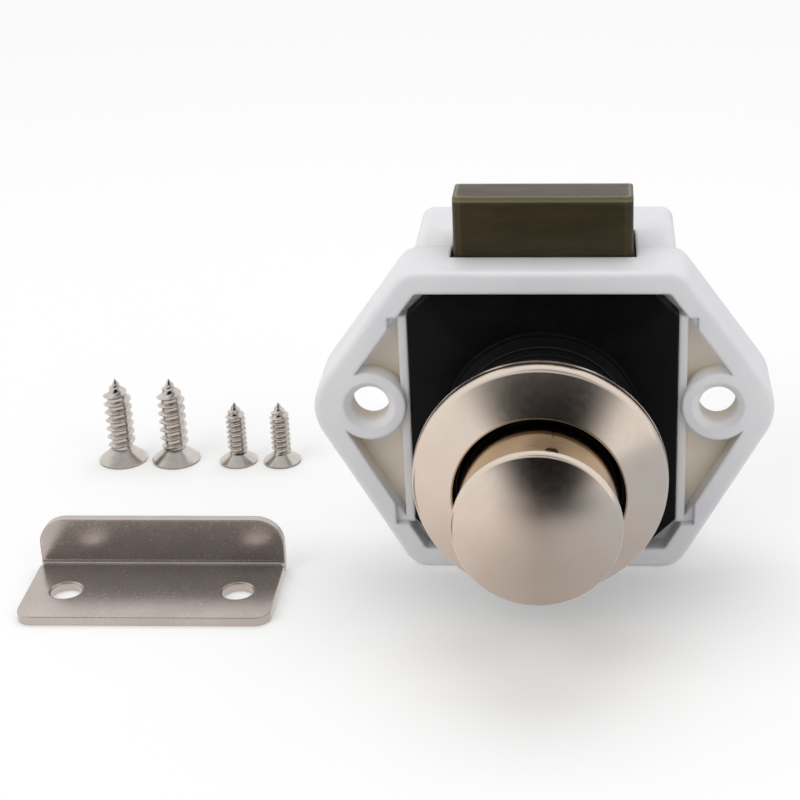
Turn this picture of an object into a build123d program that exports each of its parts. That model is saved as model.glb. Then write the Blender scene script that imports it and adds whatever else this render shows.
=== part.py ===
from build123d import *
from math import asin, cos, degrees, radians, sin
import os

os.makedirs("parts", exist_ok=True)

# All sizes are in millimetres. The door face is the plane of zero depth, the
# button's axis runs along Y, outside of the door is minus Y, the bolt points up.

# Clearances
slide_gap = 0.3
seat_gap = 0.1
fit_gap = 0.05
cut_over = 1.0

# Travel of the button, equal to the travel of the bolt
travel = 7.8

# Depths of the frame and of the carrier in it
body_depth = 9.6
tray_depth = 2.7
floor_thick = 1.7
floor_back = tray_depth + floor_thick
carrier_recess = 0.3
carrier_thick = 3.0
carrier_seat = carrier_recess + carrier_thick

# Button: neck sleeve, plug inside it, domed cap
sleeve_r = 9.4
sleeve_wall = 0.45
sleeve_inner_r = sleeve_r - sleeve_wall
sleeve_end = 3.2
plug_r = sleeve_inner_r - seat_gap
plug_land = 4.5
plug_waist_r = 6.8
cap_overhang = 0.45
cap_r = sleeve_r + cap_overhang
cap_edge = 0.45
cap_edge_round = 0.85
cap_shoulder_r = cap_r - cap_edge_round
cap_shoulder_rise = 0.7
dome_rise = 1.95
cap_plug = 2.2
seam_width = 0.18
seam_depth = 0.15
pin_from_back = 1.3
pin_side = 1.75
pin_r = 0.7
pin_length = 2.6
pin_sunk = 0.25

# Guide tube, collar and rosette round the button
bore_r = sleeve_r + slide_gap
tube_wall = 1.25
tube_r = bore_r + tube_wall
tube_chamfer = 0.4
collar_step = 1.25
collar_r = tube_r + collar_step
collar_height = 1.0
collar_round = 0.3
door_thick = 15.0
tube_out = 3.2
tube_end = door_thick + tube_out
nut_bore_r = tube_r + seat_gap
nut_wall = 4.25
rosette_r = nut_bore_r + nut_wall
flange_thick = 0.5
groove_gap = 0.4
cover_lip = 0.8
skirt_inner_r = rosette_r - cover_lip
nut_step_r = skirt_inner_r - seat_gap
nut_step_depth = 0.85
hub_end = tube_end + fit_gap
cover_edge = 1.3
cover_side = door_thick + cover_edge
cover_bevel_rise = 0.65
cover_bevel_r = rosette_r - cover_lip
cover_bevel = cover_side + cover_bevel_rise
cover_bulge = 0.25
cover_round = 0.7
opening_gap = 0.45
opening_r = cap_r + opening_gap
cone_rise = 3.25
opening_front = cover_bevel + cone_rise
cover_wall = 1.02

# The cap stands out by its travel, and pushed home its back is just inside the opening
cap_hidden = 0.4
cap_back = opening_front + travel - cap_hidden
cap_shoulder = cap_back + cap_edge + cap_shoulder_rise
cap_apex = cap_shoulder + dome_rise

# Button spring and the screw of the cap
knob_spring_r = 3.4
knob_spring_inner_r = 2.6
spring_play = 0.4
spring_bore_r = knob_spring_r + spring_play
spring_seat = 5.0
spring_post_r = 2.0
spring_post_length = 8.0
knob_screw_r = 1.45
knob_screw_head_r = 2.6
knob_screw_head = 2.2
knob_screw_into_cap = 0.8
knob_screw_end = cap_back + knob_screw_into_cap
knob_screw_tip = 0.7
head_bore_r = 2.75
head_seat = 8.0

# Plunger tail with its wings, and the bolt's fork round them
tail_wall = 2.2
tail_half = spring_bore_r + tail_wall
tail_half_height = 6.8
tail_chamfer = 0.5
tail_corner = 0.7
wing_width = 2.5
wing_half = tail_half + wing_width
wing_front = carrier_seat + slide_gap
wing_length = 5.4
wing_back = wing_front + wing_length
wing_top = 2.5
window_half = wing_half + slide_gap
window_spare = 0.4
window_top = tail_half_height + travel + window_spare
leg_width = 4.8
leg_end = 9.0
ramp_inner = tail_half + slide_gap
ramp_gap = 0.15
shoulder_half = window_half + leg_width
bridge = 2.3
shoulder_height = window_top + bridge
shoulder_step = 2.35
bolt_half = shoulder_half - shoulder_step
frame_to_bolt = 1.3
bolt_front = floor_back + frame_to_bolt
bolt_thick = 11.0
bolt_back = bolt_front + bolt_thick
tip_thick = 5.6
bevel_rise = 6.5
bolt_edge_round = 0.9
bolt_tip_round = 0.45
ramp_foot = 0.5
ramp_offset = leg_end + bolt_front - ramp_foot
slot_gap = 0.4
slot_front_gap = 0.2
slot_half = bolt_half + slot_gap
slot_front = bolt_front - slot_front_gap
slot_back = bolt_back + slide_gap
bolt_spring_r = 1.5
bolt_spring_inner_r = 1.1
bolt_spring_play = 0.25
bolt_spring_hole_r = bolt_spring_r + bolt_spring_play
bolt_spring_hole_top = 6.0
bolt_spring_x = (window_half + shoulder_half) / 2
bolt_spring_back = 6.5
bolt_spring_y = bolt_front + bolt_spring_back
bolt_post_r = 0.8
bolt_post_height = 4.0

# Carrier's cheeks and runners round the bolt, and the rear case round them
cheek_wall = 1.0
cheek_half = shoulder_half + slide_gap + cheek_wall
cheek_play = 0.2
cavity_half = cheek_half + cheek_play
case_wall = 1.8
case_half = cavity_half + case_wall
shoulder_room = 0.8
case_top = shoulder_height + shoulder_room + case_wall
leg_room = 1.7
case_floor = leg_end + travel + leg_room
case_bottom = case_floor + case_wall
case_room = 10.3
case_depth = bolt_back + case_room
case_back_inside = case_depth - case_wall
case_round = 1.7
runner_width = 2.0
runner_x = cheek_half - cheek_wall - runner_width / 2
rail_depth = 1.7
cheek_end = case_back_inside - slide_gap
hook_reach = 1.3
hook_from_seam = 2.4
hook_start = body_depth + hook_from_seam
hook_length = 2.2
hook_half = 2.8
window_gap = 0.35

# Six-sided front frame round the case and the carrier
frame_lip = 0.5
body_top = case_top + frame_lip
body_bottom = case_bottom + frame_lip
rim_wall = 2.8
rim_round = 0.7
carrier_half = case_half - fit_gap
carrier_top = body_top - rim_wall - seat_gap
carrier_bottom = body_bottom - rim_wall - seat_gap
carrier_cut_top = 3.05
carrier_cut_bottom = 4.0
carrier_round = 0.3
cheek_drop = 4.1
cheek_lift = 4.9
cheek_top = carrier_top - cheek_drop
cheek_bottom = carrier_bottom - cheek_lift
flat_margin = 0.35
flat_half = carrier_half + flat_margin
wing_reach = 13.06
corner_reach = flat_half + wing_reach
corner_height = 2.4
side_round = 6.5
end_round = 3.5
divider_wall = 1.2
divider_low = 0.8
divider_half = 14.4
boss_out = 5.15
boss_x = carrier_half + boss_out
boss_r = 4.6
boss_pad_r = 5.0
boss_pad_depth = 1.0
screw_hole_r = 2.4
front_sink_r = 3.25
front_sink_depth = 0.9
back_sink_r = 3.75
back_sink_depth = 1.5

# Bolt projection
bolt_out = 7.7
bolt_tip = body_top + bolt_out

# Ears of the case and their screws
ear_out = 2.0
ear_x = case_half + ear_out
ear_high = 10.0
ear_low = 8.0
ear_r = 2.4
ear_thick = 1.8
ear_boss_r = 2.2
ear_hole_r = 1.35
case_screw_r = 1.05
case_screw_head_r = 2.0
case_screw_head = 1.4
case_screw_length = 7.6
pilot_spare = 1.8
ear_pilot_depth = case_screw_length - case_screw_head - ear_thick + pilot_spare
drive_r = 0.9
drive_depth = 0.7

# End of the plunger's tail, heart groove and follower wire
tail_room = 1.2
tail_end = case_back_inside - travel - tail_room
swing_degrees = 8.0
wire_r = 0.45
wire_bend = 1.0
wire_arm = 10.0
pivot_from_back = 2.6
pivot_back = case_back_inside - pivot_from_back
track_height = 0.8
wire_height = tail_half_height + track_height
pivot_leg = 4.0
pivot_leg_end = wire_height + pivot_leg
groove_depth = 1.8
tip_gap = 0.4
track_gap = 0.2
groove_end_gap = 0.35
swing = radians(swing_degrees)
tip_x = wire_arm * sin(swing)
tip_y = pivot_back - wire_arm * cos(swing)
island_half = 0.7
island_point_step = 2.1
island_waist_step = 3.7
island_front_step = 5.8
island_point = tip_y - island_point_step
island_waist = tip_y - island_waist_step
island_front = tip_y - island_front_step
notch_depth = 1.1
shelf_half = 3.0
shelf_reach = 2.2
shelf_front = pivot_back - shelf_reach
shelf_thick = 4.2
leaf_half = 1.6
leaf_thick = 0.25
leaf_reach = 8.1
leaf_back_gap = 0.4
leaf_front = pivot_back - leaf_reach
leaf_back = case_back_inside - leaf_back_gap
shelf_top = wire_height + wire_r + fit_gap + leaf_thick

# Strike plate and loose screws, set out on the bench beside the lock
set_gap = 3.74
strike_width = 32.0
strike_depth = 15.0
strike_lip = 7.5
strike_thick = 1.2
strike_left = corner_reach + set_gap + strike_width
strike_near = -15.0
lip_round = 3.6
foot_round = 2.0
bend_round = 0.5
bend_nick_r = 0.4
strike_hole_r = 2.0
strike_hole_edge = 0.15
strike_hole_spacing = 22.0
strike_hole_inset = 6.6
large_head_r = 3.5
large_head_height = 2.1
large_shank_r = 1.55
large_length = 13.0
large_tip = 2.6
large_inset = 3.1
large_x = strike_left - large_inset
large_step = 7.8
screws_behind = 31.5
large_y = strike_near + strike_depth + screws_behind
small_head_r = 2.75
small_head_height = 1.6
small_shank_r = 1.2
small_length = 9.5
small_tip = 2.0
small_inset = 20.2
small_x = strike_left - small_inset
small_step = 6.4
small_nearer = 0.5
small_y = large_y - small_nearer
head_edge = 0.35
tip_point_r = 0.2
recess_width = 0.9
recess_reach_share = 0.62
recess_depth = 1.3
small_recess_depth = 0.9

pin_angle = asin(pin_side / sleeve_r)
pin_depth = cap_back - pin_from_back
pin_foot = sleeve_r - pin_sunk - pin_length
pin_plane = Plane((0, -pin_depth, 0), x_dir=(0, 1, 0), z_dir=(sin(pin_angle), 0, cos(pin_angle)))
dome_r = (cap_shoulder_r**2 + dome_rise**2) / (2 * dome_rise)

# The six-sided outline and the carrier's eight-sided outline
with BuildSketch(Plane.XZ) as outline:
    with BuildLine():
        Polyline(
            (corner_reach, corner_height),
            (flat_half, body_top),
            (-flat_half, body_top),
            (-corner_reach, corner_height),
            (-flat_half, -body_bottom),
            (flat_half, -body_bottom),
            close=True,
        )
    make_face()
    fillet(outline.vertices().group_by(Axis.Y)[1], radius=side_round)
    fillet(outline.vertices().group_by(Axis.Y)[0], radius=end_round)
    fillet(outline.vertices().group_by(Axis.Y)[-1], radius=end_round)

with BuildSketch(Plane.XZ) as carrier_outline:
    with BuildLine():
        Polyline(
            (carrier_half, carrier_top - carrier_cut_top),
            (carrier_half - carrier_cut_top, carrier_top),
            (carrier_cut_top - carrier_half, carrier_top),
            (-carrier_half, carrier_top - carrier_cut_top),
            (-carrier_half, carrier_cut_bottom - carrier_bottom),
            (carrier_cut_bottom - carrier_half, -carrier_bottom),
            (carrier_half - carrier_cut_bottom, -carrier_bottom),
            (carrier_half, carrier_cut_bottom - carrier_bottom),
            close=True,
        )
    make_face()

# Front frame: rimmed tray in front, open wings behind, bosses for the screws
with BuildPart() as front_frame:
    with BuildSketch(Plane.XZ.offset(-body_depth)):
        add(outline.sketch_local)
    extrude(amount=body_depth)
    with BuildSketch(Plane.XZ.offset(-tray_depth)):
        offset(outline.sketch_local, amount=-rim_wall)
        for side in (-1, 1):
            with Locations((side * (carrier_half + divider_wall / 2), 0)):
                Rectangle(divider_wall, 2 * divider_half, mode=Mode.SUBTRACT)
    extrude(amount=tray_depth + cut_over, mode=Mode.SUBTRACT)
    with BuildSketch(Plane.XZ.offset(-divider_low)):
        Rectangle(2 * (carrier_half + 2 * divider_wall), 2 * divider_half)
    extrude(amount=divider_low + cut_over, mode=Mode.SUBTRACT)
    with BuildSketch(Plane.XZ.offset(-body_depth - cut_over)):
        offset(outline.sketch_local, amount=-rim_wall)
        Rectangle(2 * (carrier_half + divider_wall), 2 * body_bottom, mode=Mode.SUBTRACT)
    extrude(amount=body_depth + cut_over - floor_back, mode=Mode.SUBTRACT)
    with BuildSketch(Plane.XZ.offset(-carrier_seat)):
        offset(carrier_outline.sketch_local, amount=fit_gap, kind=Kind.INTERSECTION)
    extrude(amount=carrier_seat + cut_over, mode=Mode.SUBTRACT)
    with BuildSketch(Plane.XZ.offset(-floor_back)):
        offset(carrier_outline.sketch_local, amount=-case_wall, kind=Kind.INTERSECTION)
    extrude(amount=floor_back, mode=Mode.SUBTRACT)
    with BuildSketch(Plane.XZ.offset(-body_depth - cut_over)):
        with Locations((0, (body_top - body_bottom) / 2)):
            Rectangle(2 * cavity_half, body_top + body_bottom - 2 * rim_wall)
    extrude(amount=body_depth + cut_over - floor_back, mode=Mode.SUBTRACT)
    with BuildSketch(Plane.XZ.offset(-body_depth - cut_over)):
        with Locations((0, body_top)):
            Rectangle(2 * slot_half, 2 * rim_wall + cut_over)
    extrude(amount=body_depth + cut_over - slot_front, mode=Mode.SUBTRACT)
    # Bosses for the door screws
    with BuildSketch(Plane.XZ.offset(-floor_back)):
        with Locations((-boss_x, corner_height), (boss_x, corner_height)):
            Circle(boss_r)
    extrude(amount=floor_back)
    with BuildSketch(Plane.XZ.offset(-floor_back - boss_pad_depth)):
        with Locations((-boss_x, corner_height), (boss_x, corner_height)):
            Circle(boss_pad_r)
    extrude(amount=boss_pad_depth + floor_thick / 2)
    # Bosses for the four case screws
    with BuildSketch(Plane.XZ.offset(-body_depth)):
        with Locations((-ear_x, ear_high), (ear_x, ear_high), (-ear_x, -ear_low), (ear_x, -ear_low)):
            Circle(ear_boss_r)
    extrude(amount=body_depth - floor_back + floor_thick / 2)
    for side in (-1, 1):
        with BuildSketch(Plane.XZ.offset(-floor_back - boss_pad_depth - cut_over)):
            with Locations((side * boss_x, corner_height)):
                Circle(screw_hole_r)
        extrude(amount=floor_back + boss_pad_depth + 2 * cut_over, mode=Mode.SUBTRACT)
        with BuildSketch(Plane.XZ) as mouth:
            with Locations((side * boss_x, corner_height)):
                Circle(front_sink_r)
        with BuildSketch(Plane.XZ.offset(-front_sink_depth)):
            with Locations((side * boss_x, corner_height)):
                Circle(screw_hole_r)
        loft(mode=Mode.SUBTRACT)
        with BuildSketch(Plane.XZ.offset(-floor_back - boss_pad_depth)):
            with Locations((side * boss_x, corner_height)):
                Circle(back_sink_r)
        with BuildSketch(Plane.XZ.offset(back_sink_depth - floor_back - boss_pad_depth)):
            with Locations((side * boss_x, corner_height)):
                Circle(screw_hole_r)
        loft(mode=Mode.SUBTRACT)
    with BuildSketch(Plane.XZ.offset(-body_depth - cut_over)):
        with Locations((-ear_x, ear_high), (ear_x, ear_high), (-ear_x, -ear_low), (ear_x, -ear_low)):
            Circle(case_screw_r + fit_gap)
    extrude(amount=cut_over + ear_pilot_depth, mode=Mode.SUBTRACT)
    rim_edges = front_frame.faces().filter_by(Axis.Y).sort_by(Axis.Y)[0].outer_wire().edges()
    fillet(rim_edges, radius=rim_round)
front_frame.part.label = "front_frame"
export_step(front_frame.part, "parts/front_frame.step")

# Rear case: open box with ears, windows for the hooks, posts and the wire's shelf
with BuildPart() as rear_case:
    with BuildSketch(Plane.XZ.offset(-case_depth)):
        with Locations((0, (case_top - case_bottom) / 2)):
            Rectangle(2 * case_half, case_top + case_bottom)
    extrude(amount=case_depth - body_depth)
    fillet(rear_case.edges().filter_by(Axis.Y), radius=case_round)
    fillet(rear_case.faces().sort_by(Axis.Y)[-1].edges(), radius=case_round / 2)
    with BuildSketch(Plane.XZ.offset(-case_back_inside)):
        with Locations((0, (case_top - case_bottom) / 2)):
            Rectangle(2 * cavity_half, case_top + case_bottom - 2 * case_wall)
    extrude(amount=case_back_inside - body_depth + cut_over, mode=Mode.SUBTRACT)
    with BuildSketch(Plane.XZ.offset(-slot_back)):
        with Locations((0, case_top)):
            Rectangle(2 * slot_half, 2 * case_wall + cut_over)
    extrude(amount=slot_back - body_depth + cut_over, mode=Mode.SUBTRACT)
    # Ears on the frame's bosses
    for height in (ear_high, -ear_low):
        with BuildSketch(Plane.XZ.offset(-body_depth - ear_thick)):
            with Locations((-ear_x, height), (ear_x, height)):
                Circle(ear_r)
            for side in (-1, 1):
                with Locations((side * (cavity_half + ear_x) / 2, height)):
                    Rectangle(ear_x - cavity_half, 2 * ear_r)
        extrude(amount=ear_thick)
    with BuildSketch(Plane.XZ.offset(-body_depth - ear_thick - cut_over)):
        with Locations((-ear_x, ear_high), (ear_x, ear_high), (-ear_x, -ear_low), (ear_x, -ear_low)):
            Circle(ear_hole_r)
    extrude(amount=ear_thick + 2 * cut_over, mode=Mode.SUBTRACT)
    # Windows for the carrier's hooks
    with BuildSketch(Plane.YZ.offset(-case_half - cut_over)):
        with Locations((hook_start + hook_length / 2, 0)):
            Rectangle(hook_length + 2 * window_gap, 2 * (hook_half + window_gap))
    extrude(amount=2 * (case_half + cut_over), mode=Mode.SUBTRACT)
    # Post inside the button's spring, pegs inside the bolt's springs
    with BuildSketch(Plane.XZ.offset(-case_back_inside - case_wall / 2)):
        Circle(spring_post_r)
    extrude(amount=spring_post_length + case_wall / 2)
    with BuildSketch(Plane.XY.offset(-case_floor - case_wall / 2)):
        with Locations((-bolt_spring_x, bolt_spring_y), (bolt_spring_x, bolt_spring_y)):
            Circle(bolt_post_r)
    extrude(amount=bolt_post_height + case_wall / 2)
    # Shelf with the hole for the follower wire
    with BuildSketch(Plane.XY.offset(-shelf_top - shelf_thick)):
        with Locations((0, (shelf_front + case_back_inside + case_wall / 2) / 2)):
            Rectangle(2 * shelf_half, case_back_inside + case_wall / 2 - shelf_front)
    extrude(amount=shelf_thick)
    with BuildSketch(Plane.XY.offset(-pivot_leg_end - seat_gap)):
        with Locations((0, pivot_back)):
            Circle(wire_r + fit_gap)
    extrude(amount=pivot_leg_end + seat_gap - shelf_top + cut_over, mode=Mode.SUBTRACT)
rear_case.part.label = "rear_case"
export_step(rear_case.part, "parts/rear_case.step")

# Black carrier: plate, collar, guide tube, cheeks with runners, rails and hooks
with BuildPart() as carrier:
    with BuildSketch(Plane.XZ.offset(-carrier_seat)):
        add(carrier_outline.sketch_local)
    extrude(amount=carrier_thick)
    chamfer(carrier.faces().sort_by(Axis.Y)[0].edges(), length=carrier_round)
    with BuildSketch(Plane.XZ.offset(-carrier_recess)):
        Circle(collar_r)
    extrude(amount=carrier_recess + collar_height)
    collar_foot = carrier.edges().filter_by(GeomType.CIRCLE).group_by(Axis.Y)[-1]
    fillet(collar_foot, radius=collar_round)
    with BuildSketch(Plane.XZ):
        Circle(tube_r)
    extrude(amount=tube_end)
    chamfer(carrier.faces().sort_by(Axis.Y)[0].edges(), length=tube_chamfer)
    with BuildSketch(Plane.XZ.offset(-carrier_seat - cut_over)):
        Circle(bore_r)
    extrude(amount=carrier_seat + tube_end + 2 * cut_over, mode=Mode.SUBTRACT)
    for side in (-1, 1):
        # Cheek
        with BuildSketch(Plane.XZ.offset(-cheek_end)):
            with Locations((side * (cheek_half - cheek_wall / 2), (cheek_top - cheek_bottom) / 2)):
                Rectangle(cheek_wall, cheek_top + cheek_bottom)
        extrude(amount=cheek_end - carrier_seat + carrier_thick / 2)
        # Runner in front of the bolt and rail behind it
        with BuildSketch(Plane.XZ.offset(-slot_front)):
            with Locations((side * runner_x, (cheek_top - cheek_bottom) / 2)):
                Rectangle(runner_width, cheek_top + cheek_bottom)
        extrude(amount=slot_front - carrier_seat + carrier_thick / 2)
        with BuildSketch(Plane.XZ.offset(-slot_back - rail_depth)):
            with Locations((side * runner_x, (cheek_top - cheek_bottom) / 2)):
                Rectangle(runner_width, cheek_top + cheek_bottom)
        extrude(amount=rail_depth)
        # Hook
        with BuildSketch(Plane.XY.offset(-hook_half)):
            with BuildLine():
                Polyline(
                    (side * (cheek_half - cheek_wall / 2), hook_start),
                    (side * (cheek_half + hook_reach), hook_start),
                    (side * cheek_half, hook_start + hook_length),
                    (side * (cheek_half - cheek_wall / 2), hook_start + hook_length),
                    close=True,
                )
            make_face()
        extrude(amount=2 * hook_half)
carrier.part.label = "carrier"
export_step(carrier.part, "parts/carrier.step")

# Bolt: beveled head, shoulders, fork with the two draw ramps
with BuildPart() as bolt:
    with BuildSketch(Plane.XZ.offset(-bolt_back)):
        with BuildLine():
            Polyline(
                (bolt_half, bolt_tip),
                (-bolt_half, bolt_tip),
                (-bolt_half, shoulder_height),
                (-shoulder_half, shoulder_height),
                (-shoulder_half, -leg_end),
                (-window_half, -leg_end),
                (-window_half, window_top),
                (window_half, window_top),
                (window_half, -leg_end),
                (shoulder_half, -leg_end),
                (shoulder_half, shoulder_height),
                (bolt_half, shoulder_height),
                close=True,
            )
        make_face()
    extrude(amount=bolt_thick)
    upright = bolt.edges().filter_by(Axis.Z).filter_by(lambda e: e.center().Z > shoulder_height)
    fillet(upright, radius=bolt_edge_round)
    with BuildSketch(Plane.YZ.offset(-shoulder_half)):
        with BuildLine():
            Polyline(
                (bolt_front + tip_thick, bolt_tip),
                (bolt_back, bolt_tip - bevel_rise),
                (bolt_back + cut_over, bolt_tip - bevel_rise),
                (bolt_back + cut_over, bolt_tip + cut_over),
                (bolt_front + tip_thick, bolt_tip + cut_over),
                close=True,
            )
        make_face()
    extrude(amount=2 * shoulder_half, mode=Mode.SUBTRACT)
    tip_edges = bolt.faces().sort_by(Axis.Z)[-1].edges().sort_by(Axis.Y)[0]
    fillet(tip_edges, radius=bolt_tip_round)
    for side in (-1, 1):
        with BuildSketch(Plane.YZ.offset(side * ramp_inner)):
            with BuildLine():
                Polyline(
                    (bolt_back, -leg_end),
                    (bolt_back, bolt_back - ramp_offset - ramp_gap),
                    (bolt_front, bolt_front - ramp_offset - ramp_gap),
                    (bolt_front, -leg_end),
                    close=True,
                )
            make_face()
        extrude(amount=side * (window_half - ramp_inner + fit_gap))
    with BuildSketch(Plane.XY.offset(-leg_end - cut_over)):
        with Locations((-bolt_spring_x, bolt_spring_y), (bolt_spring_x, bolt_spring_y)):
            Circle(bolt_spring_hole_r)
    extrude(amount=leg_end + cut_over + bolt_spring_hole_top, mode=Mode.SUBTRACT)
bolt.part.label = "bolt"
export_step(bolt.part, "parts/bolt.step")

# Springs of the bolt and of the button, as plain sleeves of the coils' size
with BuildPart() as bolt_spring_left:
    with BuildSketch(Plane.XY.offset(fit_gap - case_floor)):
        with Locations((-bolt_spring_x, bolt_spring_y)):
            Circle(bolt_spring_r)
            Circle(bolt_spring_inner_r, mode=Mode.SUBTRACT)
    extrude(amount=case_floor + bolt_spring_hole_top - 2 * fit_gap)
bolt_spring_left.part.label = "bolt_spring_left"
export_step(bolt_spring_left.part, "parts/bolt_spring_left.step")

with BuildPart() as bolt_spring_right:
    with BuildSketch(Plane.XY.offset(fit_gap - case_floor)):
        with Locations((bolt_spring_x, bolt_spring_y)):
            Circle(bolt_spring_r)
            Circle(bolt_spring_inner_r, mode=Mode.SUBTRACT)
    extrude(amount=case_floor + bolt_spring_hole_top - 2 * fit_gap)
bolt_spring_right.part.label = "bolt_spring_right"
export_step(bolt_spring_right.part, "parts/bolt_spring_right.step")

with BuildPart() as knob_spring:
    with BuildSketch(Plane.XZ.offset(fit_gap - case_back_inside)):
        Circle(knob_spring_r)
        Circle(knob_spring_inner_r, mode=Mode.SUBTRACT)
    extrude(amount=case_back_inside + spring_seat - 2 * fit_gap)
knob_spring.part.label = "knob_spring"
export_step(knob_spring.part, "parts/knob_spring.step")

# Domed button cap with its plug inside the sleeve
with BuildPart() as knob_cap:
    with BuildSketch(Plane.XY):
        with BuildLine():
            Polyline(
                (0, -cap_apex),
                (0, cap_plug - cap_back),
                (sleeve_inner_r - fit_gap, cap_plug - cap_back),
                (sleeve_inner_r - fit_gap, -cap_back),
                (cap_r, -cap_back),
                (cap_r, -cap_back - cap_edge),
            )
            RadiusArc((cap_r, -cap_back - cap_edge), (cap_shoulder_r, -cap_shoulder), cap_edge_round)
            RadiusArc((cap_shoulder_r, -cap_shoulder), (0, -cap_apex), dome_r)
        make_face()
    revolve(axis=Axis.Y)
    with BuildSketch(Plane.XZ.offset(cap_back - cap_plug - cut_over)):
        Circle(knob_screw_r + fit_gap)
    extrude(amount=knob_screw_end + seat_gap - cap_back + cap_plug + cut_over, mode=Mode.SUBTRACT)
    with BuildSketch(pin_plane.offset(pin_foot - seat_gap)):
        Circle(pin_r + fit_gap)
    extrude(amount=pin_length + cut_over, mode=Mode.SUBTRACT)
knob_cap.part.label = "knob_cap"
export_step(knob_cap.part, "parts/knob_cap.step")

# Neck sleeve with its seam and pin hole
with BuildPart() as knob_sleeve:
    with BuildSketch(Plane.XZ.offset(sleeve_end)):
        Circle(sleeve_r)
        Circle(sleeve_inner_r, mode=Mode.SUBTRACT)
    extrude(amount=cap_back - sleeve_end - fit_gap)
    with BuildSketch(Plane.XZ.offset(sleeve_end - cut_over)):
        with Locations((sleeve_r * sin(pin_angle), sleeve_r * cos(pin_angle))):
            Rectangle(seam_width, 2 * seam_depth, rotation=-degrees(pin_angle))
    extrude(amount=cap_back + cut_over, mode=Mode.SUBTRACT)
    with BuildSketch(pin_plane):
        Circle(pin_r + fit_gap)
    extrude(amount=sleeve_r + cut_over, mode=Mode.SUBTRACT)
knob_sleeve.part.label = "knob_sleeve"
export_step(knob_sleeve.part, "parts/knob_sleeve.step")

with BuildPart() as sleeve_pin:
    with BuildSketch(pin_plane.offset(pin_foot)):
        Circle(pin_r)
    extrude(amount=pin_length)
sleeve_pin.part.label = "sleeve_pin"
export_step(sleeve_pin.part, "parts/sleeve_pin.step")

# Plunger: plug in the sleeve, tail with the heart groove, wings that draw the bolt
with BuildPart() as plunger:
    with BuildSketch(Plane.XZ.offset(sleeve_end + seat_gap)):
        Circle(plug_r)
    extrude(amount=cap_back - cap_plug - sleeve_end - 2 * seat_gap)
    with BuildSketch(Plane.XZ.offset(sleeve_end + plug_land)):
        Circle(plug_r + cut_over)
        Circle(plug_waist_r, mode=Mode.SUBTRACT)
    extrude(amount=cap_back - cap_plug - sleeve_end - 2 * plug_land, mode=Mode.SUBTRACT)
    with BuildSketch(Plane.XZ.offset(-tail_end)) as tail_section:
        Rectangle(2 * tail_half, 2 * tail_half_height)
        chamfer(tail_section.vertices(), length=tail_corner)
    extrude(amount=tail_end + sleeve_end + cut_over)
    chamfer(plunger.faces().sort_by(Axis.Y)[-1].edges(), length=tail_chamfer)
    for side in (-1, 1):
        with BuildSketch(Plane.YZ.offset(side * (tail_half - fit_gap))):
            with BuildLine():
                Polyline(
                    (wing_front, -wing_top),
                    (wing_front, wing_front - ramp_offset),
                    (wing_back, wing_back - ramp_offset),
                    (wing_back, -wing_top),
                    close=True,
                )
            make_face()
        extrude(amount=side * (wing_half - tail_half + fit_gap))
    with BuildSketch(Plane.XZ.offset(-tail_end - cut_over)):
        Circle(spring_bore_r)
    extrude(amount=tail_end + spring_seat + cut_over, mode=Mode.SUBTRACT)
    with BuildSketch(Plane.XZ.offset(spring_seat - cut_over)):
        Circle(head_bore_r)
    extrude(amount=head_seat - spring_seat + cut_over, mode=Mode.SUBTRACT)
    with BuildSketch(Plane.XZ.offset(head_seat - cut_over)):
        Circle(knob_screw_r + fit_gap)
    extrude(amount=cap_back - head_seat + cut_over, mode=Mode.SUBTRACT)
    # Heart groove under the tail
    with BuildSketch(Plane.XY.offset(-tail_half_height - cut_over)) as groove:
        with Locations((0, tip_y - travel / 2)):
            Rectangle(2 * (tip_x + wire_r + track_gap), travel + 2 * (wire_r + groove_end_gap))
        fillet(groove.vertices(), radius=wire_r + track_gap)
        with BuildLine():
            Polyline(
                (0, island_point),
                (island_half, island_waist),
                (island_half, island_front),
                (0, island_front + notch_depth),
                (-island_half, island_front),
                (-island_half, island_waist),
                close=True,
            )
        make_face(mode=Mode.SUBTRACT)
    extrude(amount=groove_depth + cut_over, mode=Mode.SUBTRACT)
plunger.part.label = "plunger"
export_step(plunger.part, "parts/plunger.step")

with BuildPart() as knob_screw:
    with BuildSketch(Plane.XZ.offset(head_seat - knob_screw_head)):
        Circle(knob_screw_r)
    extrude(amount=knob_screw_end - head_seat + knob_screw_head)
    chamfer(knob_screw.faces().sort_by(Axis.Y)[0].edges(), length=knob_screw_tip)
    with BuildSketch(Plane.XZ.offset(head_seat - knob_screw_head)):
        Circle(knob_screw_head_r)
    extrude(amount=knob_screw_head - fit_gap)
    chamfer(knob_screw.faces().sort_by(Axis.Y)[-1].edges(), length=head_edge)
    with BuildSketch(Plane.XZ.offset(head_seat - knob_screw_head)):
        Rectangle(recess_width, 2 * knob_screw_head_r * recess_reach_share)
        Rectangle(2 * knob_screw_head_r * recess_reach_share, recess_width)
    extrude(amount=recess_depth, mode=Mode.SUBTRACT)
knob_screw.part.label = "knob_screw"
export_step(knob_screw.part, "parts/knob_screw.step")

# Follower wire, bent from round wire, and the leaf under it
with BuildPart() as follower_wire:
    with BuildLine() as wire_path:
        FilletPolyline(
            (0, pivot_back, -pivot_leg_end),
            (0, pivot_back, -wire_height),
            (-tip_x, tip_y, -wire_height),
            (-tip_x, tip_y, groove_depth - tip_gap - tail_half_height),
            radius=wire_bend,
        )
    with BuildSketch(Plane(wire_path.line @ 0, z_dir=wire_path.line % 0)):
        Circle(wire_r)
    sweep()
follower_wire.part.label = "follower_wire"
export_step(follower_wire.part, "parts/follower_wire.step")

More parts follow.
